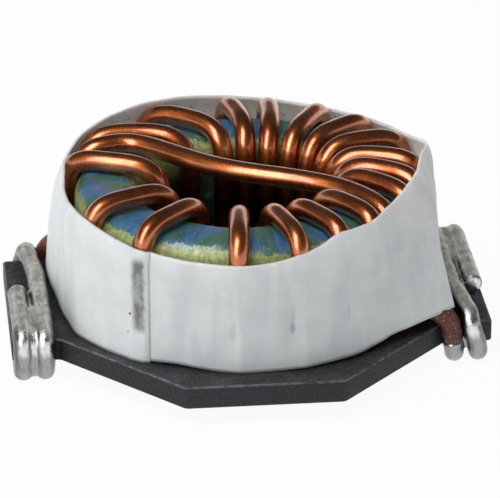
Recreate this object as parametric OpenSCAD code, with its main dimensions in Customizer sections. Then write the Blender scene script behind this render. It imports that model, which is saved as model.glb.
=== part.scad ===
// SMD power inductor.
// One enamelled copper wire is wound on an epoxy-coated ring core, a strip of
// tape is wrapped round the coil, and the coil sits on a moulded base plate.
// Both tinned ends of the wire are wrapped round a tab of the plate: those
// wraps are the solder lands, so the part stands on them at z = 0.
// X runs from tab to tab, -Y is the front, +Z is up. Sizes in millimetres.

/* [Header] */
// Depth of the base plate, front to back
header_width = 25.9; // [24:0.1:32]
// Thickness of the base plate
header_t = 1.4; // [1:0.1:3]
// Length of the straight edge at the front and at the back
front_edge = 9.3; // [6:0.1:14]
// Depth of the rectangular tab at each end
tab_width = 11.4; // [10:0.1:14]
// Length of the rectangular tab at each end
tab_length = 2.8; // [2.6:0.1:5]
// Chamfer along the tabs
tab_chamfer = 0.25; // [0.1:0.05:0.4]
// Room on a tab between the band and the wire
land_gap = 0.11; // [0.1:0.01:3]

/* [Core] */
// Outside diameter of the ring core, with its coat
core_od = 20.2; // [18:0.1:21]
// Diameter of the hole in the ring core
core_id = 12.6; // [12:0.1:14]
// Height of the ring core
core_h = 6.1; // [4:0.1:12]
// Radius of the rounded edges of the ring core
core_edge = 1.1; // [0.4:0.1:1.2]

/* [Wire] */
// Diameter of the enamelled wire
wire_d = 1.2; // [0.8:0.05:1.3]
// Room between the top of the core and the arched turns
arch_gap = 0.1; // [0.1:0.05:1]
// Tail of the left end that lies on the tab, measured from the front of the tab
tail_left = 5.4; // [3:0.1:8]
// Tail of the right end that lies on the tab, measured from the back of the tab
tail_right = 7.7; // [3:0.1:8]

/* [Band] */
// Thickness of the tape
tape_t = 0.2; // [0.1:0.05:0.4]
// Length of the lap where the tape covers its own start, in degrees
tape_lap = 40; // [15:1:80]
// How far the tape is pushed out where the right lead passes below it
tape_flare = 1.5; // [1:0.1:2]
// How far the upper edge of the tape leans in over the coil
tape_lean = 1; // [0.3:0.1:1.4]

/* [Adhesive] */
// Room between the epoxy dab and the turns round it
dab_gap = 0.1; // [0.05:0.05:1.5]
// Height of the epoxy dab
dab_h = 0.9; // [0.5:0.1:1]

/* [Hidden] */
$fn = 96;

// clearance between parts that lie on each other
fit = 0.02;
// room that the hand-wound turns keep to the outside and to the hole of the core
slack_out = 0.07;
slack_in = 0.12;
// room between neighbouring turns in the hole, and between coil or lead and tape
turn_gap = 0.15;
tape_gap = 0.05;
lead_gap = 0.1;
wire_r = wire_d / 2;
wire_sides = 8;

// heights: the wraps under the tabs are the lowest points of the part
header_z = wire_d + fit;
header_top = header_z + header_t;
core_bottom = header_top + wire_d + 3 * fit;
core_mid = core_bottom + core_h / 2;

// a turn is a loop with squarish corners round the section of the core
leg_out = core_od / 2 + wire_r + slack_out;
leg_in = core_id / 2 - wire_r - slack_in;
loop_up = core_h / 2 + wire_r + arch_gap;
loop_down = core_h / 2 + wire_r + 2 * fit;
turn_top = core_mid + loop_up;
// how square the loop is above, on its outer and its inner side, and below: 1 is an
// ellipse, 0 a rectangle
square_out = 0.46;
square_in = 0.55;
square_down = 0.4;

// hand-wound turns, clockwise from the left lead: angle of the outer leg of each
turn_out = [148.5, 120, 91, 77, 57.5, 39.5, 20, -1.5, -15.5,
            -29, -49.5, -62.5, -77.5, -97, -129, -152.5, -195];
// inner legs: the second to the tenth lie side by side, the others are spread
close_pitch = 2 * asin((wire_d + turn_gap) / (2 * leg_in));
turn_in = concat([120], [for (k = [0 : 8]) 96.5 - close_pitch * k],
                 [-46, -66, -81, -98, -123, -149, -187]);
turns = len(turn_out);
// the inner legs of the last turns hang free, this far from the wall of the hole
loose = [0.3, 0.6, 0.8];
// legs of the wire that crosses the hole
cross_left = 155.5;
cross_right = -40.6;
// foot of the first and of the last outer leg, in degrees round the loop
foot = -22.5;

function spow(v, e) = sign(v) * pow(abs(v), e);
function squareness(p) = sin(p) < 0 ? square_down : cos(p) < 0 ? square_in : square_out;
// share of the way from the outer leg (0) to the inner leg (1)
function inward(p) = (1 - spow(cos(p), squareness(p))) / 2;
function mix(a, b, t) = a + (b - a) * t;
function loop_z(p) = core_mid + (sin(p) < 0 ? loop_down : loop_up) * spow(sin(p), squareness(p));
function polar(r, a, z) = [r * cos(a), r * sin(a), z];
function loop_at(p, a, slack = 0) = polar(mix(leg_out, leg_in - slack, inward(p)), a, loop_z(p));
function unit(v) = v / norm(v);
function ease(t) = t * t * (3 - 2 * t);
function slack(k) = k < turns - len(loose) ? 0 : loose[k - turns + len(loose)];

// one turn: up the outer leg, over the core, down the inner leg ...
function turn_over(k) =
    [for (p = concat(k == 0 ? [foot] : [], [for (q = [0 : 15 : 180]) q]))
        loop_at(p, mix(turn_out[k], turn_in[k], inward(max(p, 0))), slack(k))];
// ... and below the core to the next outer leg
function turn_under(k) =
    let (next = k < turns - 1 ? turn_out[k + 1] : cross_left - 360)
    [for (p = [195 : 15 : 345])
        let (s = 1 - inward(p)) loop_at(p, mix(turn_in[k], next, mix(s, ease(s), 0.6)), slack(k))];
coil = [for (k = [0 : turns - 1]) each concat(turn_over(k), turn_under(k))];

// the wire that crosses the hole: X and Y of its points over the top, as shares of
// leg_out, and how far it falls from the first to the last of them
cross_over = [[-0.6, 0.42], [-0.39, 0.25], [-0.18, 0.05], [0.04, -0.08],
              [0.27, -0.18], [0.5, -0.32], [0.66, -0.52]];
cross_fall = 0.08;
cross_span = [for (m = cross_over)
    [m[0] * leg_out, m[1] * leg_out, turn_top + fit - cross_fall * (m[0] + 0.6) / 1.2]];
cross_keys = concat([for (p = [60, 75]) loop_at(p, cross_left)], cross_span,
                    [for (p = [60, 45]) loop_at(p, cross_right)]);
function spline(a, b, c, d, t) =
    0.5 * (2 * b + (c - a) * t + (2 * a - 5 * b + 4 * c - d) * t * t + (3 * b - a - 3 * c + d) * t * t * t);
crossing = concat(
    [for (p = [0 : 15 : 60]) loop_at(p, cross_left)],
    [for (i = [1 : len(cross_keys) - 3]) for (t = [0 : 1 / 3 : 0.99])
        spline(cross_keys[i - 1], cross_keys[i], cross_keys[i + 1], cross_keys[i + 2], t)],
    [for (p = [60 : -15 : 0]) loop_at(p, cross_right)], [loop_at(foot, cross_right)]);

// terminals: the wire is laid twice round a tab
band_out = leg_out + wire_r + tape_gap + tape_t;
lands = 2.1 * wire_d;
tab_x = band_out + land_gap + lands;
tab_y = tab_width / 2;
lead_x = tab_x - 2.08 * wire_d;
lead_angle = atan2(-tab_y - wire_r, lead_x);
rest_z = header_top + wire_r + fit;
lead_z = rest_z + fit;
bend_r = 0.75 * wire_d;
bend_in = bend_r - wire_r - fit;
near_y = -tab_y + bend_in;
far_y = tab_y - bend_in;
low_z = header_z + bend_in;
high_z = header_top - bend_in;
// places of the wire in the order it passes them, in wire diameters inwards from the end
// of the tab: lower near bend from 0 to 1, far bends 2 and 3, slant on the tab 4, upper
// near bend 5 to 6, lower near bend 7 to 8, far bends 9 and 10, cut end 11
wrap_x = [for (n = [2, 1.83, 1.6, 1.6, 1.52, 1.25, 1.05, 0.8, 0.65, 0.53, 0.53, 0.5]) tab_x - n * wire_d];
function slant_y(tail) = min(-tab_y / 3, tab_y - tail);

function bend(a, corner, b) =
    [for (t = [0 : 0.25 : 1]) (1 - t) * (1 - t) * a + 2 * t * (1 - t) * corner + t * t * b];
// quarter of a bend round the tab, seen along X, from angle a on
function quarter(y, z, a, x0, x1) =
    [for (i = [0 : 4]) let (q = a + 22.5 * i)
        [mix(x0, x1, i / 4), y + bend_r * cos(q), z + bend_r * sin(q)]];

// from the foot of the coil to the cut end, for the right-hand tab; the lead lies
// against the legs of the coil before it turns down over the edge of the tab
function terminal(leg, tail) =
    let (c = [leg[0], leg[1], lead_z],
         e = polar(leg_out + wire_d + turn_gap, mix(atan2(leg[1], leg[0]), lead_angle, 0.75), lead_z),
         d = [lead_x, -tab_y - wire_r - fit, lead_z],
         h = unit(d - e))
    concat(
        bend([c[0], c[1], (leg[2] + lead_z) / 2], c, mix(c, e, 0.4)),
        bend(mix(c, e, 0.7), e, mix(e, d, 0.2)),
        bend(d - bend_r * h, d, [d[0], d[1], (lead_z + low_z) / 2]),
        quarter(near_y, low_z, 180, wrap_x[0], wrap_x[1]),
        quarter(far_y, low_z, 270, wrap_x[2], wrap_x[2]),
        quarter(far_y, high_z, 0, wrap_x[3], wrap_x[3]),
        [[wrap_x[4], slant_y(tail), rest_z]],
        quarter(near_y, high_z, 90, wrap_x[5], wrap_x[6]),
        quarter(near_y, low_z, 180, wrap_x[7], wrap_x[8]),
        quarter(far_y, low_z, 270, wrap_x[9], wrap_x[9]),
        quarter(far_y, high_z, 0, wrap_x[10], wrap_x[10]),
        [[wrap_x[11], tab_y - tail, rest_z]]);
function turned(p) = [-p[0], -p[1], p[2]];
left_end = terminal(turned(coil[0]), tail_left);
right_end = terminal(crossing[len(crossing) - 1], tail_right);

route = concat([for (i = [len(left_end) - 1 : -1 : 0]) turned(left_end[i])], coil, crossing, right_end);

// a tube along a list of points; the ring of corners is carried along without
// twist, then the last few degrees are spread so that it ends corner-down
function headings(p) =
    [for (i = [0 : len(p) - 1]) unit(p[min(i + 1, len(p) - 1)] - p[max(i - 1, 0)])];
function carried(t, first) =
    [for (i = 0, n = unit(first - (first * t[0]) * t[0]); i < len(t);
        i = i + 1, n = i < len(t) ? unit(n - (n * t[i]) * t[i]) : n) n];
module tube(p, r) {
    t = headings(p);
    n = carried(t, [1, 0, 0]);
    last = len(p) - 1;
    step = 360 / wire_sides;
    off = atan2(n[last] * [0, 0, 1], n[last] * [1, 0, 0]);
    fix = off - step * round(off / step);
    ring = [for (i = [0 : last]) let (m = cross(t[i], n[i]), q = fix * i / last)
        for (k = [0 : wire_sides - 1]) p[i] + r * (cos(step * k + q) * n[i] + sin(step * k + q) * m)];
    w = wire_sides;
    polyhedron(ring, concat(
        [[for (k = [w - 1 : -1 : 0]) k]],
        [for (i = [0 : last - 1]) for (k = [0 : w - 1])
            [i * w + k, i * w + (k + 1) % w, (i + 1) * w + (k + 1) % w, (i + 1) * w + k]],
        [[for (k = [0 : w - 1]) last * w + k]]), convexity = 20);
}

// base plate: octagonal plate with the bar of the two tabs through it
module header() {
    c = tab_chamfer;
    quadrant = [[tab_x - tab_length, tab_y], [front_edge / 2, header_width / 2]];
    color("#2b2d2f") union() {
        translate([0, 0, header_z]) linear_extrude(header_t)
            polygon([for (s = [[1, 1, 0], [-1, 1, 1], [-1, -1, 0], [1, -1, 1]]) for (i = [0, 1])
                let (q = quadrant[abs(s[2] - i)]) [s[0] * q[0], s[1] * q[1]]]);
        translate([-tab_x, 0, header_z]) rotate([90, 0, 90]) linear_extrude(2 * tab_x)
            polygon([[-tab_y + c, 0], [tab_y - c, 0], [tab_y, c], [tab_y, header_t - c],
                     [tab_y - c, header_t], [-tab_y + c, header_t], [-tab_y, header_t - c], [-tab_y, c]]);
    }
}

// pressed powder ring with rounded edges
module core() {
    e = core_edge;
    color("#3c6e9e") translate([0, 0, core_bottom]) rotate_extrude()
        translate([core_id / 2, 0]) union() {
            w = (core_od - core_id) / 2;
            translate([e, 0]) square([w - 2 * e, core_h]);
            translate([0, e]) square([w, core_h - 2 * e]);
            for (x = [e, w - e], y = [e, core_h - e]) translate([x, y]) circle(e, $fn = 32);
        }
}

// the whole length of wire, from one cut end to the other
module winding() {
    color("#b5541e") tube(route, wire_r);
}

// tape: height of its upper edge over the tops of the turns, every 30 degrees
rim_rise = [-0.15, -0.55, -0.85, -0.55, -0.15, -0.45, -0.95, -1.15, -1.75, -1.85, -0.75, -0.05];
// where the end of the tape lies, and the angle over which it climbs onto its start
lap_end = -124;
lap_start = lap_end - tape_lap;
climb = 15;
seam = 0.5;
// angles over which a lead pushes the tape out, lifts its lower edge and folds it up
flare_span = 26;
lift_span = 75;
fold_span = 9;
// the left lead is pulled tight and pushes the tape out less
left_share = 0.35;
// height of the strip below the upper edge that leans in
lean_h = 3.05;

function rise(a) =
    let (u = ((a % 360) + 360) % 360 / 30, i = floor(u), v = rim_rise, n = len(v))
    spline(v[(i + n - 1) % n], v[i % n], v[(i + 1) % n], v[(i + 2) % n], u - i);
// 1 over a lead, falling to 0 at the given angle on either side
function bulge(a, span) =
    let (d = abs(((a - lead_angle) % 180 + 270) % 180 - 90)) d < span ? (1 + cos(180 * d / span)) / 2 : 0;
function tape_low(a) =
    header_top + fit + (wire_d + lead_gap) * mix(bulge(a, fold_span), bulge(a, lift_span), 0.5);
function tape_high(a) = turn_top + wire_r + rise(a);
// inner radius at angle a and height z, a share v of the way up the tape
function tape_in(a, z, v) =
    band_out - tape_t
        + tape_flare * bulge(a, flare_span) * (cos(a) < 0 ? left_share : 1) * (1 - v)
        - tape_lean * pow(max(0, (z - turn_top - wire_r + lean_h) / lean_h), 2);

module band() {
    rows = [0, 0.12, 0.35, 0.6, 0.8, 1];
    n = len(rows);
    lap_columns = 8;
    columns = 95;
    stations = concat([for (i = [0 : lap_columns - 1]) mix(lap_start + seam, lap_end, i / lap_columns)],
                      [lap_end],
                      [for (i = [0 : columns]) mix(lap_end + seam, lap_start + 360, i / columns)]);
    m = len(stations);
    corner = [for (a = stations)
        let (turn = a - lap_start,
             lift = tape_t * max(0, (turn - 360 + climb) / climb),
             layers = turn < tape_lap + seam / 2 ? 2 * tape_t : tape_t + lift)
        each [for (side = [lift, layers]) for (v = rows)
            let (z = mix(tape_low(a), tape_high(a), v)) polar(tape_in(a, z, v) + side, a, z)]];
    function id(i, side, j) = (i % m) * 2 * n + side * n + j;
    // two triangles of the side that faces in or out, or of an edge
    function patch(a, b, c, d) = [[a, b, c], [a, c, d]];
    color("#e3e5e4") polyhedron(corner, [for (i = [0 : m - 1]) each concat(
        [for (j = [0 : n - 2]) each concat(
            patch(id(i, 0, j), id(i, 0, j + 1), id(i + 1, 0, j + 1), id(i + 1, 0, j)),
            patch(id(i, 1, j), id(i + 1, 1, j), id(i + 1, 1, j + 1), id(i, 1, j + 1)))],
        patch(id(i, 0, 0), id(i + 1, 0, 0), id(i + 1, 1, 0), id(i, 1, 0)),
        patch(id(i, 0, n - 1), id(i, 1, n - 1), id(i + 1, 1, n - 1), id(i + 1, 0, n - 1)))], convexity = 6);
}

// epoxy dab that fills the foot of the hole and holds the coil on the plate
module adhesive() {
    dab_r = leg_in - max(loose) - wire_r - dab_gap;
    color("#4a4238") translate([0, 0, header_top]) rotate_extrude()
        polygon(concat([[0, 0]], [for (a = [0 : 15 : 90]) [dab_r * spow(cos(a), 0.5), dab_h * sin(a)]]));
}

// solder in the groove between the two runs of wire on a tab: from the top of
// the tab, down the far side and below it to the near side
module solder(tail) {
    r = wire_r + fit;
    start_y = slant_y(tail) + wire_r;
    // y, z, direction away from the tab, X of the first and of the second run
    seats = concat(
        [for (y = [max(start_y, tab_y - tail + wire_r), far_y / 2])
            let (s = (far_y - y) / (far_y - slant_y(tail)))
            [y, rest_z, 90, mix(wrap_x[3], wrap_x[4], s), mix(wrap_x[10], wrap_x[11], s)]],
        [for (i = [4 : -1 : 0]) [far_y + bend_r * cos(22.5 * i), high_z + bend_r * sin(22.5 * i), 22.5 * i,
            wrap_x[3], wrap_x[10]]],
        [for (i = [4 : -1 : 0]) [far_y + bend_r * cos(270 + 22.5 * i), low_z + bend_r * sin(270 + 22.5 * i),
            270 + 22.5 * i, wrap_x[2], wrap_x[9]]],
        [[near_y + wire_r, low_z - bend_r, 270, wrap_x[1], wrap_x[8]]]);
    // corners of the fillet: a short arc on the first run and one on the second
    corners = concat([for (b = [22.5, 45, 67.5]) [0, b]], [for (b = [67.5, 45, 22.5]) [1, b]]);
    w = len(corners);
    ring = [for (s = seats) for (c = corners)
        [s[3 + c[0]] + (1 - 2 * c[0]) * r * cos(c[1]),
         s[0] + r * sin(c[1]) * cos(s[2]),
         s[1] + r * sin(c[1]) * sin(s[2])]];
    last = len(seats) - 1;
    polyhedron(ring, concat(
        [[for (k = [0 : w - 1]) k]],
        [for (i = [0 : last - 1]) for (k = [0 : w - 1])
            [i * w + (k + 1) % w, i * w + k, (i + 1) * w + k, (i + 1) * w + (k + 1) % w]],
        [[for (k = [w - 1 : -1 : 0]) last * w + k]]), convexity = 8);
}

module solder_left() {
    color("#9a9b96") rotate(180) solder(tail_left);
}

module solder_right() {
    color("#9a9b96") solder(tail_right);
}

header();
core();
winding();
band();
adhesive();
solder_left();
solder_right();
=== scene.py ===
import bmesh
import bpy
import numpy as np
from mathutils import Matrix, Vector


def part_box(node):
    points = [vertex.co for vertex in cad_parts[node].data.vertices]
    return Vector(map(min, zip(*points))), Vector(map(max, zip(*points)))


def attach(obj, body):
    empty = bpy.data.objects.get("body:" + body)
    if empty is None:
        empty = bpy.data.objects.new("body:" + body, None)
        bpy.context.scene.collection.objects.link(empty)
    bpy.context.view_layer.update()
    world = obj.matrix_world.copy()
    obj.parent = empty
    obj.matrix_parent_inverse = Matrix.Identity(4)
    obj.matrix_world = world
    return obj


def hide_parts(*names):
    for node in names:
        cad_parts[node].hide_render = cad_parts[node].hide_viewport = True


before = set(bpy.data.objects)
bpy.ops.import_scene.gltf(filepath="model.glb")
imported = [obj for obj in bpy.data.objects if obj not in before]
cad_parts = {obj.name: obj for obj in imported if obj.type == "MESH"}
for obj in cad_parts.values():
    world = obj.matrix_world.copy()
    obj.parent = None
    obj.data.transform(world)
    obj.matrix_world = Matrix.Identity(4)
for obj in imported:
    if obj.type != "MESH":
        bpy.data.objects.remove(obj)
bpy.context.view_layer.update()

mm = 0.001

# Camera: a long lens, a little above the part and turned slightly to the left of it.
turn, tilt, roll = np.radians([-5.713, 24.423, -0.095])
reach = 253.3 * mm
aim = np.array([0.39, 0, 5.3]) * mm
back = np.array([np.sin(turn) * np.cos(tilt), -np.cos(turn) * np.cos(tilt), np.sin(tilt)])
right = np.cross(-back, [0, 0, 1])
right /= np.linalg.norm(right)
up = np.cross(back, right)
camera = bpy.data.objects.new("camera", bpy.data.cameras.new("camera"))
bpy.context.scene.collection.objects.link(camera)
sides = np.cos(roll) * right + np.sin(roll) * up, np.cos(roll) * up - np.sin(roll) * right, back
camera.matrix_world = Matrix.Translation(aim + reach * back) @ Matrix(sides).transposed().to_4x4()
camera.data.lens = 303.8
camera.data.sensor_width = 36
camera.data.clip_start = 10 * mm
camera.data.clip_end = 10
bpy.context.scene.camera = camera
bpy.context.scene.view_settings.view_transform = "Standard"


# Base plate: an octagonal plate with a rectangular tab at each end, moulded in black
# plastic. Its edges are slightly rounded and rubbed grey, with a painted highlight along
# them; its top is matt and mottled, and painted lighter than its sides, as light from above.
plate_low, plate_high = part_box("header")
tab_x, tab_y = plate_high[0], 5.7 * mm
tab_length = 2.8 * mm
front_edge = 9.3 * mm
header_z, header_top = plate_low[2], plate_high[2]
edge_r = 0.14 * mm
corner_gap = 0.12 * mm


def surface(name, points, loop_rows=False, loop_columns=True, **extra):
    """A mesh over a grid of points (rows, columns, 3): a four-sided face between each point
    and the next in its row and its column. extra holds a number for every point, each under
    the name of its attribute. Points that meet, at poles and seams, are merged."""
    rows, columns = points.shape[:2]
    number = np.arange(rows * columns).reshape(rows, columns)
    across = np.roll(number, -1, 1) if loop_columns else number[:, 1:]
    here = number if loop_columns else number[:, :-1]
    if loop_rows:
        faces = np.stack([here, across, np.roll(across, -1, 0), np.roll(here, -1, 0)], -1)
    else:
        faces = np.stack([here[:-1], across[:-1], across[1:], here[1:]], -1)
    mesh = bpy.data.meshes.new(name)
    mesh.from_pydata(points.reshape(-1, 3), [], faces.reshape(-1, 4))
    for key, value in extra.items():
        layer = mesh.attributes.new(key, "FLOAT", "POINT")
        layer.data.foreach_set("value", np.broadcast_to(value, points.shape[:2]).ravel())
    shape = bmesh.new()
    shape.from_mesh(mesh)
    bmesh.ops.remove_doubles(shape, verts=shape.verts, dist=1e-4 * mm)
    bmesh.ops.recalc_face_normals(shape, faces=shape.faces)
    shape.to_mesh(mesh)
    shape.free()
    mesh.shade_smooth()
    piece = bpy.data.objects.new(name, mesh)
    bpy.context.scene.collection.objects.link(piece)
    return piece


def finish(name, colour, roughness, **steady):
    """A new material. Returns it, its tree and its shader with these constant values."""
    material = bpy.data.materials.new(name)
    material.use_nodes = True
    shader = material.node_tree.nodes["Principled BSDF"]
    shader.inputs["Base Color"].default_value = paint(colour)
    shader.inputs["Roughness"].default_value = roughness
    for key, value in steady.items():
        shader.inputs[key.replace("_", " ")].default_value = value
    return material, material.node_tree, shader


def paint(code):
    """Red, green, blue and 1 of a colour written as six hexadecimal digits, as light."""
    share = np.array([int(code[i:i + 2], 16) for i in (0, 2, 4)]) / 255
    light = np.where(share < 0.04045, share / 12.92, ((share + 0.055) / 1.055) ** 2.4)
    return (*light, 1)


def put(tree, kind, settings=None, **inputs):
    """A new node. Each input is a constant or another node's output, under its name."""
    node = tree.nodes.new("ShaderNode" + kind)
    for key, value in (settings or {}).items():
        setattr(node, key, value)
    for key, value in inputs.items():
        socket = node.inputs[int(key[1:])] if key[0] == "_" else node.inputs[key.replace("_", " ")]
        if isinstance(value, bpy.types.NodeSocket):
            tree.links.new(value, socket)
        else:
            socket.default_value = value
    return node


def place(tree, stretch=(1, 1, 1)):
    """Coordinates on the piece, with each axis multiplied by stretch."""
    return put(tree, "Mapping", Vector=put(tree, "TexCoord").outputs["Object"], Scale=stretch).outputs[0]


def noise(tree, where, size, detail=3, rough=0.55):
    """Cloudy noise from 0 to 1 with patches of about that size."""
    settings = {"noise_dimensions": "3D"}
    return put(tree, "TexNoise", settings, Vector=where, Scale=1 / size, Detail=detail,
               Roughness=rough).outputs["Fac"]


def band_of(tree, value, low, high, least=0, most=1):
    """value as a share from least, at low, to most, at high, with soft ends."""
    settings = {"interpolation_type": "SMOOTHSTEP"}
    return put(tree, "MapRange", settings, Value=value, From_Min=low, From_Max=high,
               To_Min=least, To_Max=most).outputs[0]


def joined(tree, a, b, kind="MULTIPLY"):
    """Two numbers joined by that operation, which is a product unless it is named."""
    return put(tree, "Math", {"operation": kind}, _0=a, _1=b).outputs[0]


def mix(tree, share, a, b):
    """Colour a where share is 0 and b where it is 1. Either may be a code or an output."""
    a, b = (paint(c) if isinstance(c, str) else c for c in (a, b))
    return put(tree, "Mix", {"data_type": "RGBA"}, _0=share, _6=a, _7=b).outputs[2]


def relief(tree, shader, height, depth, strength=1):
    """Bump of that depth on the shader, from a height between 0 and 1."""
    bump = put(tree, "Bump", Height=height, Distance=depth, Strength=strength)
    tree.links.new(bump.outputs[0], shader.inputs["Normal"])


def mould_plate():
    """The outline, drawn inwards by an inset at each height, then closed to the middle.
    Where the inset grows along a quarter circle, the edge is round."""
    quadrant = np.array([[tab_x, tab_y], [tab_x - tab_length, tab_y],
                         [front_edge / 2, plate_high[1]]])
    outline = np.concatenate([quadrant, (quadrant * [-1, 1])[::-1],
                              -quadrant, (quadrant * [1, -1])[::-1]])
    step = np.roll(outline, -1, 0) - outline
    step /= np.linalg.norm(step, axis=1)[:, None]
    inward = np.stack([-step[:, 1], step[:, 0]], 1)
    bisector = inward + np.roll(inward, 1, 0)
    bisector /= 1 + (inward * np.roll(inward, 1, 0)).sum(1)[:, None]
    # each corner is drawn as two close points, so that the flats between them stay flat
    pairs = np.concatenate([outline - corner_gap * np.roll(step, 1, 0),
                            outline + corner_gap * step], 1).reshape(-1, 2)
    bend = np.repeat(bisector, 2, 0)
    arc = np.linspace(0, np.pi / 2, 5)
    inset = edge_r * np.concatenate([1 - np.sin(arc), 1 - np.cos(arc)])
    height = np.concatenate([header_z + edge_r * (1 - np.cos(arc)),
                             header_top - edge_r * (1 - np.sin(arc))])
    rim = pairs[None] + inset[:, None, None] * bend[None]
    inner = [0.96, 0.8, 0.5, 0.2, 0]
    flat = np.concatenate([[rim[0] * s for s in inner[::-1]], rim, [rim[-1] * s for s in inner]])
    height = np.concatenate([[header_z] * len(inner), height, [header_top] * len(inner)])
    worn = np.concatenate([[0] * len(inner), np.sin(2 * arc), 0.3 + np.sin(2 * arc), [0] * len(inner)])
    points = np.concatenate([flat, np.broadcast_to(height[:, None, None], (*flat.shape[:2], 1))], 2)
    return surface("plate", points, worn=worn[:, None])


plate = mould_plate()
moulded, tree, shader = finish("black_moulding", "26282A", 0.55, Specular_IOR_Level=0.4)
where = place(tree)
speckle = noise(tree, where, 0.16 * mm, 5, 0.7)
clouds = noise(tree, where, 2.4 * mm, 4, 0.6)
upward = put(tree, "SeparateXYZ", Vector=put(tree, "NewGeometry").outputs["Normal"]).outputs["Z"]
# painted light: the top is painted lighter than the sides, as lit from above
top = band_of(tree, upward, 0.5, 0.9)
shaded_sides_look = mix(tree, band_of(tree, speckle, 0.45, 0.75), "1A1C1E", "2E3133")
lit_top_look = mix(tree, band_of(tree, speckle, 0.4, 0.72), "1F2123", "3C3F42")
lit_top_look = mix(tree, band_of(tree, clouds, 0.42, 0.68, 0, 0.5), lit_top_look, "45484B")
look = mix(tree, top, shaded_sides_look, lit_top_look)
# mould dust: fine pale specks, more of them on the top
specks = band_of(tree, noise(tree, where, 0.07 * mm, 2, 0.5), 0.7, 0.78)
look = mix(tree, joined(tree, specks, band_of(tree, clouds, 0.4, 0.6, 0.1, 0.5)), look, "8A8D8F")
# painted highlight: the rounded edges are painted lighter grey in patches, partly rubbed wear and partly a
# highlight along them
edge_wear_and_highlight = put(tree, "Attribute", {"attribute_name": "worn"}).outputs["Fac"]
patchy = band_of(tree, noise(tree, where, 0.5 * mm, 4), 0.35, 0.6, 0.1, 0.6)
look = mix(tree, joined(tree, band_of(tree, edge_wear_and_highlight, 0.5, 1.0), patchy), look, "6E7275")
tree.links.new(look, shader.inputs["Base Color"])
tree.links.new(band_of(tree, speckle, 0.3, 0.7, 0.65, 0.42), shader.inputs["Roughness"])
relief(tree, shader, speckle, 0.03 * mm, 0.5)
plate.data.materials.append(moulded)
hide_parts("header")
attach(plate, "root")


# Core: a ring of pressed powder, dipped in yellow-green epoxy and painted blue on top.
# The paint is brushed on, so it ends in ragged streaks, and it is worn pale near the edge.
core_low, core_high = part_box("core")
core_out, core_hole = core_high[0], 6.3 * mm
core_edge = 1.12 * mm
core_mid = (core_low[2] + core_high[2]) / 2


def press_ring():
    """A rectangle with round corners, turned about the upright axis. Its section is drawn in by
    up to about a sixtieth, in slow waves round the ring, as a dipped coat is uneven."""
    corner = np.linspace(0, np.pi / 2, 9)
    width, height = core_out - core_hole, core_high[2] - core_low[2]
    quarter = core_edge * np.stack([np.cos(corner), np.sin(corner)], 1)
    half = np.array([width, height]) / 2 - core_edge
    profile = np.concatenate([half + quarter, half * [-1, 1] + (quarter * [-1, 1])[::-1],
                              -half - quarter, half * [1, -1] + (quarter * [1, -1])[::-1]])
    ends = np.roll(profile, -1, 0)
    profile = np.concatenate([profile[:, None] + (ends - profile)[:, None] * s for s in (0, 1 / 3, 2 / 3)],
                             1).reshape(-1, 2)
    angle = np.linspace(0, 2 * np.pi, 240, endpoint=False)[:, None]
    wave = np.sin(5 * angle + 1) + np.sin(11 * angle + 2 * profile[:, 1] / mm) - 2
    radius = (core_out + core_hole) / 2 + profile[:, 0] * (1 + 0.004 * wave)
    lift = core_mid + profile[:, 1] * (1 + 0.004 * wave)
    return surface("ring", np.stack([radius * np.cos(angle), radius * np.sin(angle), lift], 2),
                   loop_rows=True)


ring = press_ring()
coat, tree, shader = finish("core_coat", "7F9158", 0.4, Coat_Weight=0.2, Coat_Roughness=0.3)
where = place(tree)
axis = put(tree, "SeparateXYZ", Vector=where)
level = put(tree, "CombineXYZ", X=axis.outputs["X"], Y=axis.outputs["Y"]).outputs[0]
radius = put(tree, "VectorMath", {"operation": "LENGTH"}, Vector=level).outputs["Value"]
angle = put(tree, "Math", {"operation": "ARCTAN2"}, _0=axis.outputs["Y"], _1=axis.outputs["X"]).outputs[0]
# a brush stroke is long across the ring and narrow along it
stroke = put(tree, "CombineXYZ", X=joined(tree, angle, 10 * mm),
             Y=joined(tree, radius, 0.16), Z=joined(tree, axis.outputs["Z"], 0.16)).outputs[0]
bristle = noise(tree, stroke, 0.15 * mm, 3, 0.65)
blotch = noise(tree, where, 3.2 * mm, 2, 0.5)
fine = noise(tree, where, 0.3 * mm, 5, 0.7)
# how far down the outer side and down the hole the paint runs, frayed by the bristles
fray = joined(tree, joined(tree, joined(tree, bristle, fine, "ADD"), 1, "SUBTRACT"), 1.1 * mm)
sway = joined(tree, joined(tree, blotch, 0.5, "SUBTRACT"), 1.5 * mm)
down = joined(tree, core_high[2], axis.outputs["Z"], "SUBTRACT")
from_rim = joined(tree, joined(tree, core_out, radius, "SUBTRACT"), down, "SUBTRACT")
from_rim = joined(tree, from_rim, joined(tree, fray, sway, "ADD"), "ADD")
into_hole = joined(tree, down, fray, "ADD")
inner_side = band_of(tree, radius, 7.7 * mm, 7.3 * mm)
bare_hole = joined(tree, inner_side, band_of(tree, into_hole, 0.15 * mm, 0.4 * mm))
painted = joined(tree, band_of(tree, from_rim, -0.3 * mm, -0.05 * mm),
                 joined(tree, 1, bare_hole, "SUBTRACT"))
green = mix(tree, band_of(tree, fine, 0.3, 0.7), "222C20", "3C4A34")
yellow = mix(tree, band_of(tree, fine, 0.32, 0.66), "8A9A56", "C2CA8C")
# painted shade: down the hole the coat is painted dark green, as the shade inside it
deep = joined(tree, band_of(tree, radius, 8 * mm, 7.6 * mm), band_of(tree, down, 0.6 * mm, 2.6 * mm))
under = mix(tree, deep, yellow, green)
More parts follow.
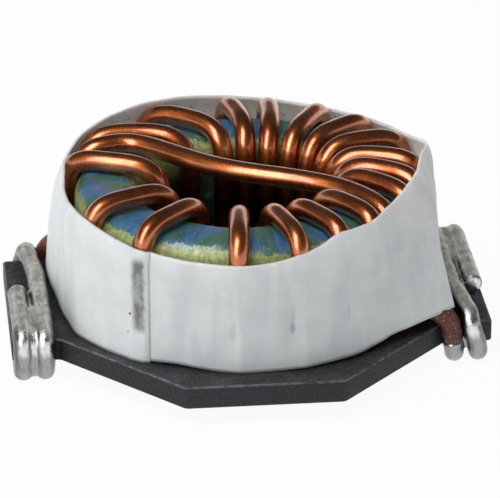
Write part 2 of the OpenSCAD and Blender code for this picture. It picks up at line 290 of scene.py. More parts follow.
# two coats of paint: blue, and a thin green that covers some of it, most of all at the front
sweep = put(tree, "CombineXYZ", X=joined(tree, angle, 10 * mm), Y=joined(tree, radius, 0.5))
thin = noise(tree, sweep.outputs[0], 2.1 * mm, 2, 0.5)
blues = mix(tree, band_of(tree, bristle, 0.3, 0.75), "2F5F88", "4F83A8")
greens = mix(tree, band_of(tree, bristle, 0.3, 0.75), "3A6557", "4E7A69")
front = band_of(tree, axis.outputs["Y"], -5 * mm, -9 * mm, 0, 0.1)
paint_look = mix(tree, band_of(tree, joined(tree, thin, front, "ADD"), 0.5, 0.62), blues, greens)
grit = band_of(tree, noise(tree, where, 0.09 * mm, 2), 0.64, 0.72, 0, 0.8)
paint_look = mix(tree, grit, paint_look, "A9B9BB")
look = mix(tree, painted, under, paint_look)
# a rubbed line near the outer edge, where the coat is worn nearly white: whole on a short
# stretch at the front left, and in faint patches elsewhere
rub_at = joined(tree, from_rim, 0.05 * mm, "SUBTRACT")
worn = joined(tree, band_of(tree, rub_at, 0.2 * mm, 0.0), band_of(tree, rub_at, -0.25 * mm, -0.1 * mm))
along_edge = joined(tree, band_of(tree, angle, -2.2, -2.12), band_of(tree, angle, -1.78, -1.86))
patches = band_of(tree, noise(tree, where, 2.4 * mm, 2), 0.52, 0.64, 0, 0.5)
worn = joined(tree, worn, joined(tree, patches, along_edge, "MAXIMUM"))
worn = joined(tree, worn, band_of(tree, fine, 0.35, 0.5))
look = mix(tree, joined(tree, worn, 0.8), look, "C6D2CE")
tree.links.new(look, shader.inputs["Base Color"])
tree.links.new(band_of(tree, bristle, 0.3, 0.7, 0.32, 0.55), shader.inputs["Roughness"])
relief(tree, shader, bristle, 0.03 * mm, 0.4)
ring.data.materials.append(coat)
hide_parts("core")
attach(ring, "root")


# Winding: one length of enamelled copper wire, wound by hand in seventeen turns, led
# across the hole and laid twice round a tab at each end, where it has been dipped in tin.
wire_d = 1.2 * mm
wire_r = wire_d / 2
fit = 0.02 * mm
gap_out, gap_in, gap_above, turn_gap = 0.07 * mm, 0.12 * mm, 0.1 * mm, 0.15 * mm
leg_out = core_out + wire_r + gap_out
leg_in = core_hole - wire_r - gap_in
rise_up = (core_high[2] - core_low[2]) / 2 + wire_r + gap_above
rise_down = (core_high[2] - core_low[2]) / 2 + wire_r + 2 * fit
turn_top = core_mid + rise_up
# the turns, by the angles in degrees of their outer legs, and of their inner legs below
turn_out = [148.5, 120, 91, 77, 57.5, 39.5, 20, -1.5, -15.5,
            -29, -49.5, -62.5, -77.5, -97, -129, -152.5, -195]
close_pitch = 2 * np.degrees(np.arcsin((wire_d + turn_gap) / (2 * leg_in)))
turn_in = [120, *(96.5 - close_pitch * np.arange(9)), -46, -66, -81, -98, -123, -149, -187]
# the inner legs of the last three turns hang free of the wall of the hole
loose = [0] * 14 + [0.3 * mm, 0.6 * mm, 0.8 * mm]
# angles of the crossing's outer legs, and the parameter at which a loop has its foot
cross_left, cross_right, foot = 155.5, -40.6, -22.5
cross_fall = 0.08 * mm
tail_left, tail_right = 5.4 * mm, 7.7 * mm
square_out, square_in, square_down = 0.46, 0.55, 0.4


def squareness(turn):
    """Power of the loop at that parameter, in degrees: one above on the outer side, one above
    on the inner side and one below."""
    c, s = np.cos(np.radians(turn)), np.sin(np.radians(turn))
    return np.where(s < 0, square_down, np.where(c < 0, square_in, square_out))


def inward(turn):
    """Share of the way from the outer leg to the inner leg: half of 1 less the cosine of the
    parameter, raised to a power below 1 that makes the corners squarer."""
    c = np.cos(np.radians(turn))
    return (1 - np.sign(c) * abs(c) ** squareness(turn)) / 2


def loop(turn, angle, slack=0):
    """Points of a loop round the core's section, at the parameter turn and the angle round
    the part, both in degrees: a superellipse, squarer below than above."""
    s = np.sin(np.radians(turn))
    radius = leg_out + (leg_in - slack - leg_out) * inward(turn)
    height = core_mid + np.where(s < 0, rise_down, rise_up) * np.sign(s) * abs(s) ** squareness(turn)
    angle = np.radians(angle)
    return np.stack([radius * np.cos(angle), radius * np.sin(angle), height], -1)


def spline(keys, steps):
    """Catmull-Rom curve through the keys from the second to the last but one."""
    t = np.linspace(0, 1, steps, endpoint=False)[None, :, None]
    a, b, c, d = (keys[i:len(keys) - 3 + i, None] for i in range(4))
    curve = 2 * b + (c - a) * t + (2 * a - 5 * b + 4 * c - d) * t * t + (3 * b - a - 3 * c + d) * t ** 3
    return (curve / 2).reshape(-1, keys.shape[1])


def wind_coil():
    """Each turn goes up its outer leg, over the core and down its inner leg, then below the
    core to the next outer leg, drifting from one angle to the next as it goes inwards."""
    over, below = np.arange(0, 180.1, 3), np.arange(183, 359.9, 3)
    nexts = [*turn_out[1:], cross_left - 360]
    start = np.arange(foot, 0, 3)
    wire = [loop(start, np.full(len(start), turn_out[0]))]
    for out, into, following, slack in zip(turn_out, turn_in, nexts, loose):
        wire.append(loop(over, out + (into - out) * inward(over), slack))
        share = 1 - inward(below)
        share = 0.4 * share + 0.6 * share * share * (3 - 2 * share)
        wire.append(loop(below, into + (following - into) * share, slack))
    return np.concatenate(wire)


def lead_across():
    """The lead from the last turn: up beside the turns on the left, across the hole through
    given points, and down on the right."""
    span = np.array([[-0.6, 0.42], [-0.39, 0.25], [-0.18, 0.05], [0.04, -0.08],
                     [0.27, -0.18], [0.5, -0.32], [0.66, -0.52]])
    fall = cross_fall * (span[:, 0] + 0.6) / 1.2
    span = np.c_[span * leg_out, turn_top - fit - fall]
    keys = np.concatenate([loop(np.array([60, 75]), cross_left), span,
                           loop(np.array([60, 45]), cross_right)])
    return np.concatenate([loop(np.arange(0, 60, 3), cross_left), spline(keys, 12),
                           loop(np.arange(60, foot - 0.1, -3), cross_right)])


bend_r = 0.75 * wire_d
bend_in = bend_r - wire_r - fit
rest_z = header_top + wire_r + fit
lead_x = tab_x - 2.08 * wire_d
lead_angle = np.degrees(np.arctan2(-tab_y - wire_r, lead_x))
# how far the lead runs above a wire that lies on the plate: under the coil, beside it, at the tab
lift_foot, lift_beside, lift_tab = 0.9 * mm, 0.75 * mm, -0.2 * mm
bend_points = 12
# where the wire stands along the part on its way round the tab, from the lead to the cut end
wrap_x = tab_x - np.array([2, 1.83, 1.6, 1.6, 1.52, 1.25, 1.05, 0.8, 0.65, 0.53, 0.53, 0.5]) * wire_d


def wrap_tab(leg, tail):
    """From the foot of the coil to the cut end, for the right-hand tab: soft bends beside the
    legs of the coil and down over the tab, then quarter circles round the tab's edges."""
    start = np.array([leg[0], leg[1], rest_z + lift_foot])
    aside = np.arctan2(leg[1], leg[0]) * 0.25 + np.radians(lead_angle) * 0.75
    clear = leg_out + wire_d + turn_gap
    beside = np.array([clear * np.cos(aside), clear * np.sin(aside), rest_z + lift_beside])
    drop = np.array([lead_x, -tab_y - wire_r - fit, rest_z + lift_tab])
    ahead = (drop - beside) / np.linalg.norm(drop - beside)
    t = np.linspace(0, 1, bend_points)[:, None]

    def bend(a, corner, b):
        return (1 - t) ** 2 * a + 2 * t * (1 - t) * corner + t * t * b

    def quarter(side, above, first, x0, x1):
        turned = np.radians(first + 90 * t)
        y = side * (tab_y - bend_in) + bend_r * np.cos(turned)
        z = (header_top - bend_in if above else header_z + bend_in) + bend_r * np.sin(turned)
        return np.concatenate([wrap_x[x0] + (wrap_x[x1] - wrap_x[x0]) * t, y, z], 1)

    return np.concatenate([
        bend(np.array([start[0], start[1], (leg[2] + rest_z) / 2]), start, start + (beside - start) * 0.4),
        bend(start + (beside - start) * 0.7, beside, beside + (drop - beside) * 0.2),
        bend(drop - bend_r * ahead, drop, np.array([drop[0], drop[1], (rest_z + header_z + bend_in) / 2])),
        quarter(-1, False, 180, 0, 1), quarter(1, False, 270, 2, 2), quarter(1, True, 0, 3, 3),
        [[wrap_x[4], -tab_y / 3, rest_z]],
        quarter(-1, True, 90, 5, 6), quarter(-1, False, 180, 7, 8), quarter(1, False, 270, 9, 9),
        quarter(1, True, 0, 10, 10), [[wrap_x[11], tab_y - tail, rest_z]]])


def even(route, step, passes=3):
    """The route with a point every step of its length, its small corners rounded by so many
    passes of averaging. Its ends stay."""
    way = np.r_[0, np.cumsum(np.linalg.norm(np.diff(route, axis=0), axis=1))]
    at = np.linspace(0, way[-1], int(way[-1] / step))
    line = np.stack([np.interp(at, way, route[:, i]) for i in range(3)], 1)
    for _ in range(passes):
        line[1:-1] = (line[:-2] + 2 * line[1:-1] + line[2:]) / 4
    return line


def tube(line, radius, sides):
    """Rings of points round the line. The first ring's direction is carried along without
    twist: at each point it loses what lies along the line, and is made of length 1 again."""
    ahead = np.gradient(line, axis=0)
    ahead /= np.linalg.norm(ahead, axis=1)[:, None]
    aside = np.empty_like(ahead)
    aside[0] = np.cross(ahead[0], [1, 0.3, 0.2])
    for i in range(len(line)):
        flat = aside[max(i - 1, 0)] - aside[max(i - 1, 0)] @ ahead[i] * ahead[i]
        aside[i] = flat / np.linalg.norm(flat)
    above = np.cross(ahead, aside)
    turned = np.linspace(0, 2 * np.pi, sides, endpoint=False)[None, :, None]
    around = np.cos(turned) * aside[:, None] + np.sin(turned) * above[:, None]
    return line[:, None] + radius * around


half_turn = np.array([-1, -1, 1])
coil, crossing = wind_coil(), lead_across()
left_end = wrap_tab(coil[0] * half_turn, tail_left) * half_turn
right_end = wrap_tab(crossing[-1], tail_right)
# points along the wire stand this far apart, and the crossing gets more rounding than the rest
pace = 0.22 * mm
crossing = even(crossing, pace, 24)
route = even(np.concatenate([left_end[::-1], coil, crossing, right_end]), pace)
way = np.r_[0, np.cumsum(np.linalg.norm(np.diff(route, axis=0), axis=1))]


def length_of(path):
    """Length of a path of points."""
    return np.linalg.norm(np.diff(path, axis=0), axis=1).sum()


# how much of each end has been dipped: at the left all but the first stretch of the lead, and
# at the right all that follows the three soft bends
bare_left = 6.2 * mm
dip_left = length_of(left_end) - bare_left
dip_right = length_of(right_end[3 * bend_points:])
bare = np.minimum(way - dip_left, way[-1] - dip_right - way)


def round_wire():
    """The tube along the route, thinner than the wire where tin covers it and a little thicker
    with its enamel elsewhere, cut short inside the tin, with a pole at each end. Its
    attributes are the way along it, round it and from the tin, in mm."""
    in_tin, enamelled = 0.88, 1.03
    cut_back, girth, corners = 0.4 * mm, 3.77, 22
    radius = wire_r * np.where(bare < 0, in_tin, enamelled)
    keep = (way > cut_back) & (way < way[-1] - cut_back)
    rings = tube(route, radius[:, None, None], corners)[keep]
    caps = [np.repeat(rings[i].mean(0)[None], corners, 0)[None] for i in (0, -1)]
    points = np.concatenate([caps[0], rings, caps[1]])
    along, tinned = (np.r_[v[keep][0], v[keep], v[keep][-1]][:, None] / mm for v in (way, bare))
    around = np.arange(corners)[None] / corners * girth
    return surface("wire", points, along=along, around=around, bare=tinned)


wire = round_wire()
enamel, tree, shader = finish("enamelled_copper", "B5541E", 0.35, Metallic=1,
                              Coat_Weight=1, Coat_Roughness=0.11, Coat_IOR=1.7)
where = place(tree)
along = put(tree, "Attribute", {"attribute_name": "along"}).outputs["Fac"]
drawn = put(tree, "CombineXYZ", X=joined(tree, along, 0.08),
            Y=put(tree, "Attribute", {"attribute_name": "around"}).outputs["Fac"]).outputs[0]
lines = noise(tree, drawn, 0.35, 4, 0.6)
patches = noise(tree, where, 1.6 * mm, 3)
dust = noise(tree, where, 0.1 * mm, 3, 0.75)
look = mix(tree, band_of(tree, patches, 0.35, 0.7), "B8591F", "D47A36")
look = mix(tree, band_of(tree, lines, 0.4, 0.7, 0, 0.4), look, "7C3416")
# by the solder the enamel is scorched dark brown and dull
tinned = put(tree, "Attribute", {"attribute_name": "bare"}).outputs["Fac"]
scorched = band_of(tree, joined(tree, tinned, joined(tree, patches, 2), "ADD"), 5.5, 3.5)
look = mix(tree, scorched, look, "5A2618")
# pale pinkish grey patches, most of them under the turns, are dust and a painted reflection of the white
# floor; single motes lie everywhere
upward = put(tree, "SeparateXYZ", Vector=put(tree, "NewGeometry").outputs["Normal"]).outputs["Z"]
dust_and_underside_sheen = joined(tree, band_of(tree, dust, 0.6, 0.66), band_of(tree, upward, 0.4, -0.4, 0.1, 0.8))
unscorched = joined(tree, 1, joined(tree, scorched, 0.6), "SUBTRACT")
look = mix(tree, joined(tree, dust_and_underside_sheen, unscorched), look, "B79F96")
motes = band_of(tree, noise(tree, where, 0.07 * mm, 2, 0.5), 0.64, 0.68)
look = mix(tree, joined(tree, motes, 0.7), look, "DCCBBF")
# painted shade: deep in the hole the wire is painted dark, as the shade there
axis = put(tree, "SeparateXYZ", Vector=where).outputs["Z"]
hole_shade = band_of(tree, axis, core_high[2] - 0.6 * mm, core_mid - 1 * mm)
away = put(tree, "VectorMath", {"operation": "LENGTH"},
           Vector=put(tree, "VectorMath", {"operation": "MULTIPLY"}, _0=where, _1=(1, 1, 0)).outputs[0])
hole_shade = joined(tree, hole_shade, band_of(tree, away.outputs["Value"], core_hole + 0.6 * mm, core_hole))
look = mix(tree, joined(tree, hole_shade, 0.85), look, "1E100C")
tree.links.new(look, shader.inputs["Base Color"])
shine = joined(tree, band_of(tree, lines, 0.3, 0.7, 0.3, 0.42), joined(tree, scorched, 0.25), "ADD")
tree.links.new(joined(tree, shine, joined(tree, dust_and_underside_sheen, 0.2), "ADD"), shader.inputs["Roughness"])
covered = joined(tree, joined(tree, scorched, 0.6), joined(tree, dust_and_underside_sheen, 0.4), "ADD")
tree.links.new(joined(tree, 1, covered, "SUBTRACT"), shader.inputs["Metallic"])
# the coat is taken off in the painted shade of the hole and on the scorched ends
worn = joined(tree, hole_shade, joined(tree, scorched, 0.8), "MAXIMUM")
tree.links.new(joined(tree, 1, worn, "SUBTRACT"), shader.inputs["Coat Weight"])
relief(tree, shader, joined(tree, lines, dust, "ADD"), 0.012 * mm, 0.3)
wire.data.materials.append(enamel)
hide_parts("winding")
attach(wire, "root")


# Solder: tin over both wraps and in the groove between their two runs, left dull and lumpy
# by the dip, with a round end over each cut wire.
def tin_skin(name, path, dip, tail, turned, fuller):
    """The dipped stretch of wire as a tube at full thickness, the web in the groove and the
    drop at the foot of the lead, as closed shells, which a remesh melts into one skin."""
    step = 0.15
    line = even(path, step * mm)
    rest = np.linalg.norm(np.diff(line, axis=0), axis=1)[::-1].cumsum()[::-1]
    line = line[:-1][rest < dip]
    swell = np.arange(len(line))[:, None, None] * step
    lumpy = 1 + 0.015 * (np.sin(2.1 * swell) + np.sin(4.7 * swell + 1) - 1)
    rings = tube(line, wire_r * lumpy, 20)
    # the cut end and the edge of the tin are rounded off
    for end, sign in ((0, 1), (-1, -1)):
        centre = rings[end].mean(0)
        away = line[end] - line[end + 4 * sign]
        away /= np.linalg.norm(away)
        cap = [centre + (rings[end] - centre) * np.cos(a) + away * wire_r * 0.3 * np.sin(a)
               for a in np.radians([20, 40, 60, 75, 90])]
        rings = np.concatenate([np.array(cap[::-1]), rings]) if end == 0 else np.concatenate([rings, cap])
    skin = surface(name, rings)
    web = surface(name + "_web", fill_groove(tail, fuller) * turned)
    bridge = surface(name + "_bridge", drop_between() * turned)
    shape = bmesh.new()
    for piece in (skin, web, bridge):
        shape.from_mesh(piece.data)
    shape.to_mesh(skin.data)
    shape.free()
    for piece in (web, bridge):
        bpy.data.objects.remove(piece)
    melt = skin.modifiers.new("melt", "REMESH")
    melt.mode = "VOXEL"
    melt.voxel_size = 0.055 * mm
    melt.use_smooth_shade = True
    relax = skin.modifiers.new("relax", "SMOOTH")
    relax.factor = 0.5
    relax.iterations = 18
    return skin


def fill_groove(tail, fuller):
    """Rings of an oval bead that lies in the groove, from the top of the tab, down its far
    side and below it, by that factor fuller at its start."""
    far, ends = tab_y - bend_in, np.radians(np.linspace(90, -90, 25))
    from_cut = 1.3 * mm
    y = np.r_[np.linspace(tab_y - tail + from_cut, far, 12, endpoint=False),
              far + bend_r * np.cos(ends), np.linspace(far, -tab_y + wire_d, 20)[1:]]
    middle = np.where(ends > 0, header_top - bend_in, header_z + bend_in)
    z = np.r_[np.full(12, rest_z), middle + bend_r * np.sin(ends),
              np.full(19, header_z + bend_in - bend_r)]
    x = np.full(len(y), (wrap_x[3] + wrap_x[10]) / 2)
    out = np.r_[np.full(12, np.pi / 2), ends, np.full(19, -np.pi / 2)]
    round_it = np.linspace(0, 2 * np.pi, 16, endpoint=False)[None]
    full = np.linspace(fuller, 1, len(y))[:, None]
    wide = 0.45 * mm * np.cos(round_it)
    thick = full * 0.36 * mm * np.sin(round_it)
    ease = np.clip(np.arange(len(y)) / 6, 0.05, 1)[:, None]
    ease = ease * ease[::-1]
    return np.stack([x[:, None] + wide * ease, y[:, None] + thick * ease * np.cos(out)[:, None],
                     z[:, None] + thick * ease * np.sin(out)[:, None]], 2)


def drop_between():
    """An ellipsoid that hangs between the foot of the lead and the next run of the wrap."""
    fall = np.linspace(0, np.pi, 13)[:, None]
    turned = np.linspace(0, 2 * np.pi, 20, endpoint=False)[None]
    ball = np.stack([0.85 * np.sin(fall) * np.cos(turned), 0.42 * np.sin(fall) * np.sin(turned),
                     0.5 * np.cos(fall) + 0 * turned], 2) * mm
    return ball + [(lead_x + wrap_x[5]) / 2, -tab_y - 0.35 * mm, header_z + bend_in + 0.02 * mm]


tin, tree, shader = finish("dull_tin", "B9BAB6", 0.3, Metallic=1)
where = place(tree)
facing = put(tree, "SeparateXYZ", Vector=put(tree, "NewGeometry").outputs["Normal"])
flat = band_of(tree, facing.outputs["Z"], 0.5, 0.95)
runs = noise(tree, place(tree, (1, 0.35, 0.25)), 0.22 * mm, 3, 0.6)
lumps = noise(tree, where, 0.9 * mm, 3, 0.55)
grains = noise(tree, where, 0.11 * mm, 4, 0.7)
stains = noise(tree, where, 1.1 * mm, 3)
# where it doesn't face up it is bright, with painted dark reflections in grey streaks along it and on
# greyer sides; it is also greyer towards the feet
dark_reflection_sides = put(tree, "Math", {"operation": "ABSOLUTE"}, _0=facing.outputs["X"]).outputs[0]
dark_reflection_sides = joined(tree, dark_reflection_sides, joined(tree, joined(tree, runs, 0.5, "SUBTRACT"), 0.9), "ADD")
bright = mix(tree, band_of(tree, dark_reflection_sides, 0.2, 0.75), "E6E7E6", "6E7172")
bright = mix(tree, band_of(tree, runs, 0.5, 0.66, 0, 0.5), bright, "5E6162")
foot_height = put(tree, "SeparateXYZ", Vector=where).outputs["Z"]
foot_height = joined(tree, foot_height, joined(tree, runs, 1.2 * mm), "ADD")
at_foot = band_of(tree, foot_height, header_z + 1.7 * mm, header_z + 1.2 * mm, 0, 0.75)
bright = mix(tree, at_foot, bright, "7F8180")
# where it faces up it is dull and yellowish, with fine dirt
dull = mix(tree, band_of(tree, lumps, 0.35, 0.65), "B1B0A6", "D6D5CB")
dull = mix(tree, band_of(tree, runs, 0.52, 0.66, 0, 0.6), dull, "74746E")
dull = mix(tree, band_of(tree, grains, 0.55, 0.68, 0, 0.6), dull, "5E5E58")
look = mix(tree, flat, bright, dull)
look = mix(tree, band_of(tree, stains, 0.55, 0.72, 0, 0.4), look, "B9B193")
tree.links.new(look, shader.inputs["Base Color"])
tree.links.new(joined(tree, band_of(tree, grains, 0.3, 0.7, 0.14, 0.3), joined(tree, flat, 0.14), "ADD"),
               shader.inputs["Roughness"])
# a dull oxide lies over the flat stretches
tree.links.new(joined(tree, 1, joined(tree, flat, band_of(tree, stains, 0.35, 0.65, 0.6, 0.3)), "SUBTRACT"),
               shader.inputs["Metallic"])
relief(tree, shader, joined(tree, lumps, joined(tree, grains, 0.25), "ADD"), 0.12 * mm, 0.55)
skins = [tin_skin("tin_left", left_end, dip_left, tail_left, half_turn, 1),
         tin_skin("tin_right", right_end, dip_right, tail_right, np.ones(3), 1.25)]
for skin, node in zip(skins, ("solder_left", "solder_right")):
    skin.data.materials.append(tin)
    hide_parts(node)
    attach(skin, "root")


# Band: white tape wrapped tightly once round the coil, its outer end lapped over its start
# and stuck down at the front left. It is drawn flat between the turns, is dented by them
# from behind, and is pushed out by the leads, which leave the coil below it.
tape_t, tape_gap = 0.2 * mm, 0.05 * mm
tape_r = leg_out + wire_r + tape_gap
# how far the upper rim stands above the tops of the turns, every 15 degrees
rim_rise = np.array([-0.05, -0.3, -0.55, -0.75, -0.8, -0.65, -0.4, -0.1, 0, 0.02, -0.22, -0.75,
                     -0.95, -1.05, -1.15, -1.45, -1.75, -1.9, -1.85, -1.35, -0.75, -0.35, -0.05, 0]) * mm
# the angle of the outer end, and how far it lies over the start, in degrees
lap_end, tape_lap = -124, 40
# room for the lead under the tape, how far the leads push it out, and how it leans in
lead_room = wire_d + 0.1 * mm
push_front, push_rear = 1.95 * mm, 0.8 * mm
lean_h, lean_in = 3.05 * mm, 1.0 * mm
# dents, each by its angle in degrees, its height and its depth in mm
dents = ((-81.4, 5.4, 0.1), (-63.6, 5.8, 0.07), (-98.7, 5.2, 0.05), (-40, 7, 0.12), (-52, 8, 0.06))


def bulge(angle, centre, span):
    """1 at the centre and at half a turn from it, falling as half a cosine to 0 at span
    degrees on either side."""
    gap = abs((angle - centre + 90) % 180 - 90)
    return np.where(gap < span, (1 + np.cos(np.pi * gap / span)) / 2, 0)


def fold(angle, centre, span):
    """As bulge, but with a sharp crest: 1 less the share of the span, to a power."""
    gap = abs((angle - centre + 90) % 180 - 90)
    return np.clip(1 - gap / span, 0, 1) ** 1.35


def near(angle, height, centre, level, half_wide, half_tall):
    """1 at a place on the tape, given by its angle in degrees and its height, fading to 0 as
    a bell whose halves are that wide in degrees and that tall."""
    gap = (angle - centre + 180) % 360 - 180
    return np.exp(-(gap / half_wide) ** 2 - ((height - level) / half_tall) ** 2)


def wrap_tape():
    """Radius and height over the angle and the share of the way up: a circle, pushed out by
    the leads below and leaning in above, drawn flat between the outer legs. Each share of
    the way up gives a point of the outer face and one of the inner face."""
    angle = np.linspace(lap_end - 360 - tape_lap, lap_end, 1040)[:, None]
    up = np.linspace(0, 1, 33)[None]
    keys = np.stack([rim_rise[np.r_[-1, 0:24, 0, 1, 2]]], 1)
    rim = np.interp(angle % 360, np.arange(500) * 0.75, spline(keys, 20)[:500, 0])
    low = header_top + fit + lead_room * (0.66 * fold(angle, lead_angle, 31)
                                          + 0.3 * bulge(angle, lead_angle, 75))
    # beside the end of the lap the lower edge stands a little off the plate
    low = low + 0.2 * mm * near(angle, 0, -116, 0, 10, 1) * (angle < lap_end - 300)
    # the rim has a small wave at the front right
    ruck = 0.22 * mm * (near(angle, 0, -66, 0, 5, 1) - 0.5 * near(angle, 0, -52, 0, 5, 1))
    high = turn_top + wire_r + rim + ruck
    z = low + (high - low) * up
    rear = np.cos(np.radians(angle)) < 0
    push = push_front * fold(angle, lead_angle, 19.5) * ~rear
    push = push + push_rear * bulge(angle, lead_angle, 44) * rear
    lean = np.clip((z - turn_top - wire_r + lean_h) / lean_h, 0, None)
    legs = np.sort(np.array([*turn_out, cross_left, cross_right]) % 360)
    legs = np.r_[legs[-1] - 360, legs, legs[0] + 360]
    after = np.searchsorted(legs, angle % 360, side="right")
    middle, half = (legs[after] + legs[after - 1]) / 2, (legs[after] - legs[after - 1]) / 2
    chord = np.cos(np.radians(half)) / np.cos(np.radians(angle % 360 - middle))
    slack = 0.5 * leg_out * (1 - chord) * np.clip(1.6 - 1.2 * up, 0.4, 1)
    r = tape_r + push * (1 - up) - lean_in * lean ** 2 - slack
    a = np.radians(angle)
    wave = np.sin(9 * a + 3 * up) + 0.6 * np.sin(23 * a - 4 * up + 1) + 0.4 * np.sin(41 * a + 6 * up)
    r = r + 0.018 * mm * (wave - 2)
    for centre, level, deep in dents:
        r = r - deep * mm * near(angle, z, centre, level * mm, 2.2, 1.1 * mm)
    # at the right the rim turns out again, and at the left it is pressed in
    r = r + 0.75 * mm * near(angle, z, 8, 11.2 * mm, 8, 1.9 * mm)
    r = r - 0.22 * mm * near(angle, z, 176, 9 * mm, 22, 2 * mm)
    # the outer end climbs onto the start, whose own rim lies lower, and thins to a lip
    over = np.clip((angle - lap_end + tape_lap + 18) / 16, 0, 1)
    over = over * over * (3 - 2 * over)
    under = np.clip((lap_end - 360 - angle) / 8, 0, 1)
    z = z - 0.35 * mm * under * up ** 4
    lip = np.clip((angle - lap_end) / 1.4 + 1, 0, 1)
    inside = r + tape_t * 0.9 * over
    outside = inside + tape_t * (0.8 - 0.6 * lip)
    sheet = np.concatenate([outside, inside[:, ::-1]], 1)
    height = np.concatenate([z, z[:, ::-1]], 1)
    turned = np.radians(angle) + 0 * height
    points = np.stack([sheet * np.cos(turned), sheet * np.sin(turned), height], 2)
    return points, angle + 0 * height, np.concatenate([0 * z, 1 + 0 * z], 1)


points, turned, lining = wrap_tape()
tape = surface("tape", points, turned=turned, lining=lining, height=points[..., 2] / mm)
white, tree, shader = finish("white_tape", "DEE0DF", 0.42, Subsurface_Weight=0.3, Subsurface_Scale=0.8 * mm,
                             Subsurface_Radius=(1, 1, 1), Specular_IOR_Level=0.4)
where = place(tree)
turned, lining, height = (put(tree, "Attribute", {"attribute_name": name}).outputs["Fac"]
                          for name in ("turned", "lining", "height"))
ripple = noise(tree, where, 0.4 * mm, 4, 0.6)


def spot(angle, level, half_wide, half_tall, soft=0.4):
    """1 inside an oval on the tape's outer face, with that centre and half size in degrees and
    mm, and 0 outside, with a frayed edge of that softness."""
    across = joined(tree, joined(tree, turned, angle, "SUBTRACT"), 1 / half_wide)
    upward = joined(tree, joined(tree, height, level, "SUBTRACT"), 1 / half_tall)
    reach = joined(tree, joined(tree, across, 2, "POWER"), joined(tree, upward, 2, "POWER"), "ADD")
    reach = joined(tree, reach, joined(tree, ripple, 0.5, "SUBTRACT"), "ADD")
    return joined(tree, band_of(tree, reach, 1 + soft, 1 - soft), joined(tree, 1, lining, "SUBTRACT"))


mottle = noise(tree, where, 1.6 * mm, 4, 0.6)
look = mix(tree, band_of(tree, mottle, 0.3, 0.7), "D9DDDF", "E3E7E8")
# painted shade: faint upright grey waves, as shading where it was pulled over the turns
painted_wave_shade = noise(tree, place(tree, (1, 1, 0.18)), 1.7 * mm, 3, 0.5)
look = mix(tree, band_of(tree, painted_wave_shade, 0.48, 0.66, 0, 0.35), look, "BDC4C9")
# grey shadows of the turns that touch the tape from behind
for angle, level, half_wide, half_tall, share in (
        (-441.4, 5.3, 0.8, 0.34, 0.45), (-441.4, 6.1, 0.7, 0.8, 0.15), (-423.6, 5.8, 0.7, 0.5, 0.16),
        (-458.7, 5.2, 0.9, 0.6, 0.14), (-163.6, 4.0, 1.2, 0.6, 0.12)):
    look = mix(tree, joined(tree, spot(angle, level, half_wide, half_tall, 1), share), look, "6C7077")
# two specks of dirt, and a soft grey band down the outer face beside the lapped end
for angle, level, size in ((-129.9, 5.62, 0.08), (-130.7, 4.42, 0.06)):
    look = mix(tree, spot(angle, level, size * 5, size, 0.3), look, "55534E")
across = joined(tree, turned, joined(tree, ripple, 1.2), "ADD")
grey_band = joined(tree, band_of(tree, across, -129.3, -127.2), band_of(tree, across, -124.0, -125.4))
grey_band = joined(tree, grey_band, joined(tree, band_of(tree, height, 4.3, 5.0), band_of(tree, height, 9.4, 8.8)))
grey_band = joined(tree, grey_band, joined(tree, 1, lining, "SUBTRACT"))
cloudy = noise(tree, place(tree, (1, 1, 0.5)), 0.8 * mm, 4, 0.7)
look = mix(tree, joined(tree, grey_band, band_of(tree, cloudy, 0.35, 0.6, 0.6, 0.95)), look, "6A6C6B")
# the inner face is yellowed, with brown specks of varnish, and painted lighter than the outer face, as
# light through the tape
yellowed_lit_lining = mix(tree, band_of(tree, noise(tree, where, 0.9 * mm, 4), 0.4, 0.65), "F7F5F0", "E9E2D6")
yellowed_lit_lining = mix(tree, band_of(tree, noise(tree, where, 0.3 * mm, 3), 0.66, 0.72), yellowed_lit_lining, "6B5648")
look = mix(tree, lining, look, yellowed_lit_lining)
tree.links.new(look, shader.inputs["Base Color"])
tree.links.new(band_of(tree, mottle, 0.3, 0.7, 0.36, 0.5), shader.inputs["Roughness"])
relief(tree, shader, noise(tree, where, 0.1 * mm, 3), 0.01 * mm, 0.3)
tape.data.materials.append(white)
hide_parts("band")
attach(tape, "root")


# Adhesive: a dab of brown epoxy, poured in at the foot of the hole, where it has set between
# the plate and the coil and holds them together.
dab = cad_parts["adhesive"]
epoxy, tree, shader = finish("brown_epoxy", "3A2E24", 0.25, Coat_Weight=0.4)
where = place(tree)
look = mix(tree, band_of(tree, noise(tree, where, 1.2 * mm, 4), 0.35, 0.65), "2A211A", "54463A")
tree.links.new(look, shader.inputs["Base Color"])
relief(tree, shader, noise(tree, where, 0.8 * mm, 3), 0.1 * mm, 0.5)
for slot in dab.material_slots:
    slot.material = epoxy


# Studio: a white floor that keeps a soft shadow, two soft lamps that light the part, high at
# the front left and low at the left, and two things that show only as reflections: a tall
# lamp at the front left, and dark cloth all round and above.
def white_where_seen(tree, strength):
    """That strength for rays from the camera and those mirrored or bent on their way from it,
    and 0 for the light that falls on the part."""
    path = put(tree, "LightPath")
    seen = put(tree, "Math", {"operation": "MAXIMUM"}, _0=path.outputs["Is Camera Ray"],
               _1=path.outputs["Is Glossy Ray"]).outputs[0]
    seen = put(tree, "Math", {"operation": "MAXIMUM"}, _0=seen,
               _1=path.outputs["Is Transmission Ray"]).outputs[0]
    return joined(tree, seen, strength)


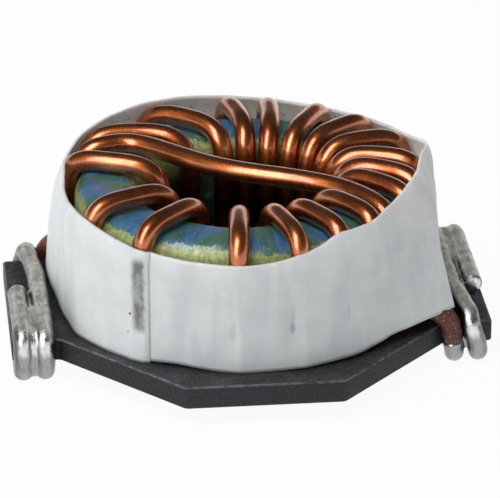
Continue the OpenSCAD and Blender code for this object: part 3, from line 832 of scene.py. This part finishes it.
floor_half = 2.0
floor = surface("floor", floor_half * np.array([[[-1, -1, 0], [1, -1, 0]], [[-1, 1, 0], [1, 1, 0]]]),
                loop_columns=False)
floor_look, tree, shader = finish("floor_white", "F4F4F4", 0.9)
glow = put(tree, "Emission", Color=(1, 1, 1, 1), Strength=1.0)
share = white_where_seen(tree, 0.94)
both = put(tree, "MixShader", _0=share, _1=shader.outputs[0], _2=glow.outputs[0])
tree.links.new(both.outputs[0], tree.nodes["Material Output"].inputs["Surface"])
floor.data.materials.append(floor_look)

world = bpy.data.worlds.new("studio")
world.use_nodes = True
bpy.context.scene.world = world
tree = world.node_tree
bright = band_of(tree, white_where_seen(tree, 1), 0, 1, 0.37, 1)
tree.links.new(bright, tree.nodes["Background"].inputs["Strength"])
tree.nodes["Background"].inputs["Color"].default_value = (1, 1, 1, 1)


def lamp(name, azimuth, elevation, distance, width, height, power):
    """A soft rectangular lamp aimed at the middle of the part. Azimuth 0 is the front."""
    a, e = np.radians([azimuth, elevation])
    outward = Vector((np.sin(a) * np.cos(e), -np.cos(a) * np.cos(e), np.sin(e)))
    light = bpy.data.objects.new(name, bpy.data.lights.new(name, "AREA"))
    bpy.context.scene.collection.objects.link(light)
    light.data.shape = "RECTANGLE"
    light.data.size, light.data.size_y = width, height
    light.data.energy = power
    light.matrix_world = Matrix.Translation(Vector(aim) + distance * outward) @ \
        outward.to_track_quat("Z", "Y").to_matrix().to_4x4()
    return light


key = lamp("key", -34, 58, 0.3, 0.17, 0.12, 0.42)
key.visible_glossy = False
sheen = lamp("sheen", -40, 42, 0.3, 0.15, 0.3, 0.72)
sheen.visible_diffuse = False
side = lamp("side", -90, 22, 0.35, 0.25, 0.25, 0.45)
side.visible_glossy = False

# the dark cloth is a dome over the part, open below 18 degrees; only mirrored rays meet it
height, around = np.radians(np.linspace(18, 90, 13)), np.radians(np.arange(0, 360, 7.5))
height, around = height[:, None], around[None]
cloth_r = 0.6
dome = np.stack([np.cos(height) * np.cos(around), np.cos(height) * np.sin(around),
                 np.sin(height) + 0 * around], 2)
cloth = surface("cloth", cloth_r * dome)
cloth_look, tree, shader = finish("dark_cloth", "5A5A5C", 0.9)
cloth.data.materials.append(cloth_look)
cloth.visible_camera = cloth.visible_diffuse = cloth.visible_shadow = cloth.visible_transmission = False
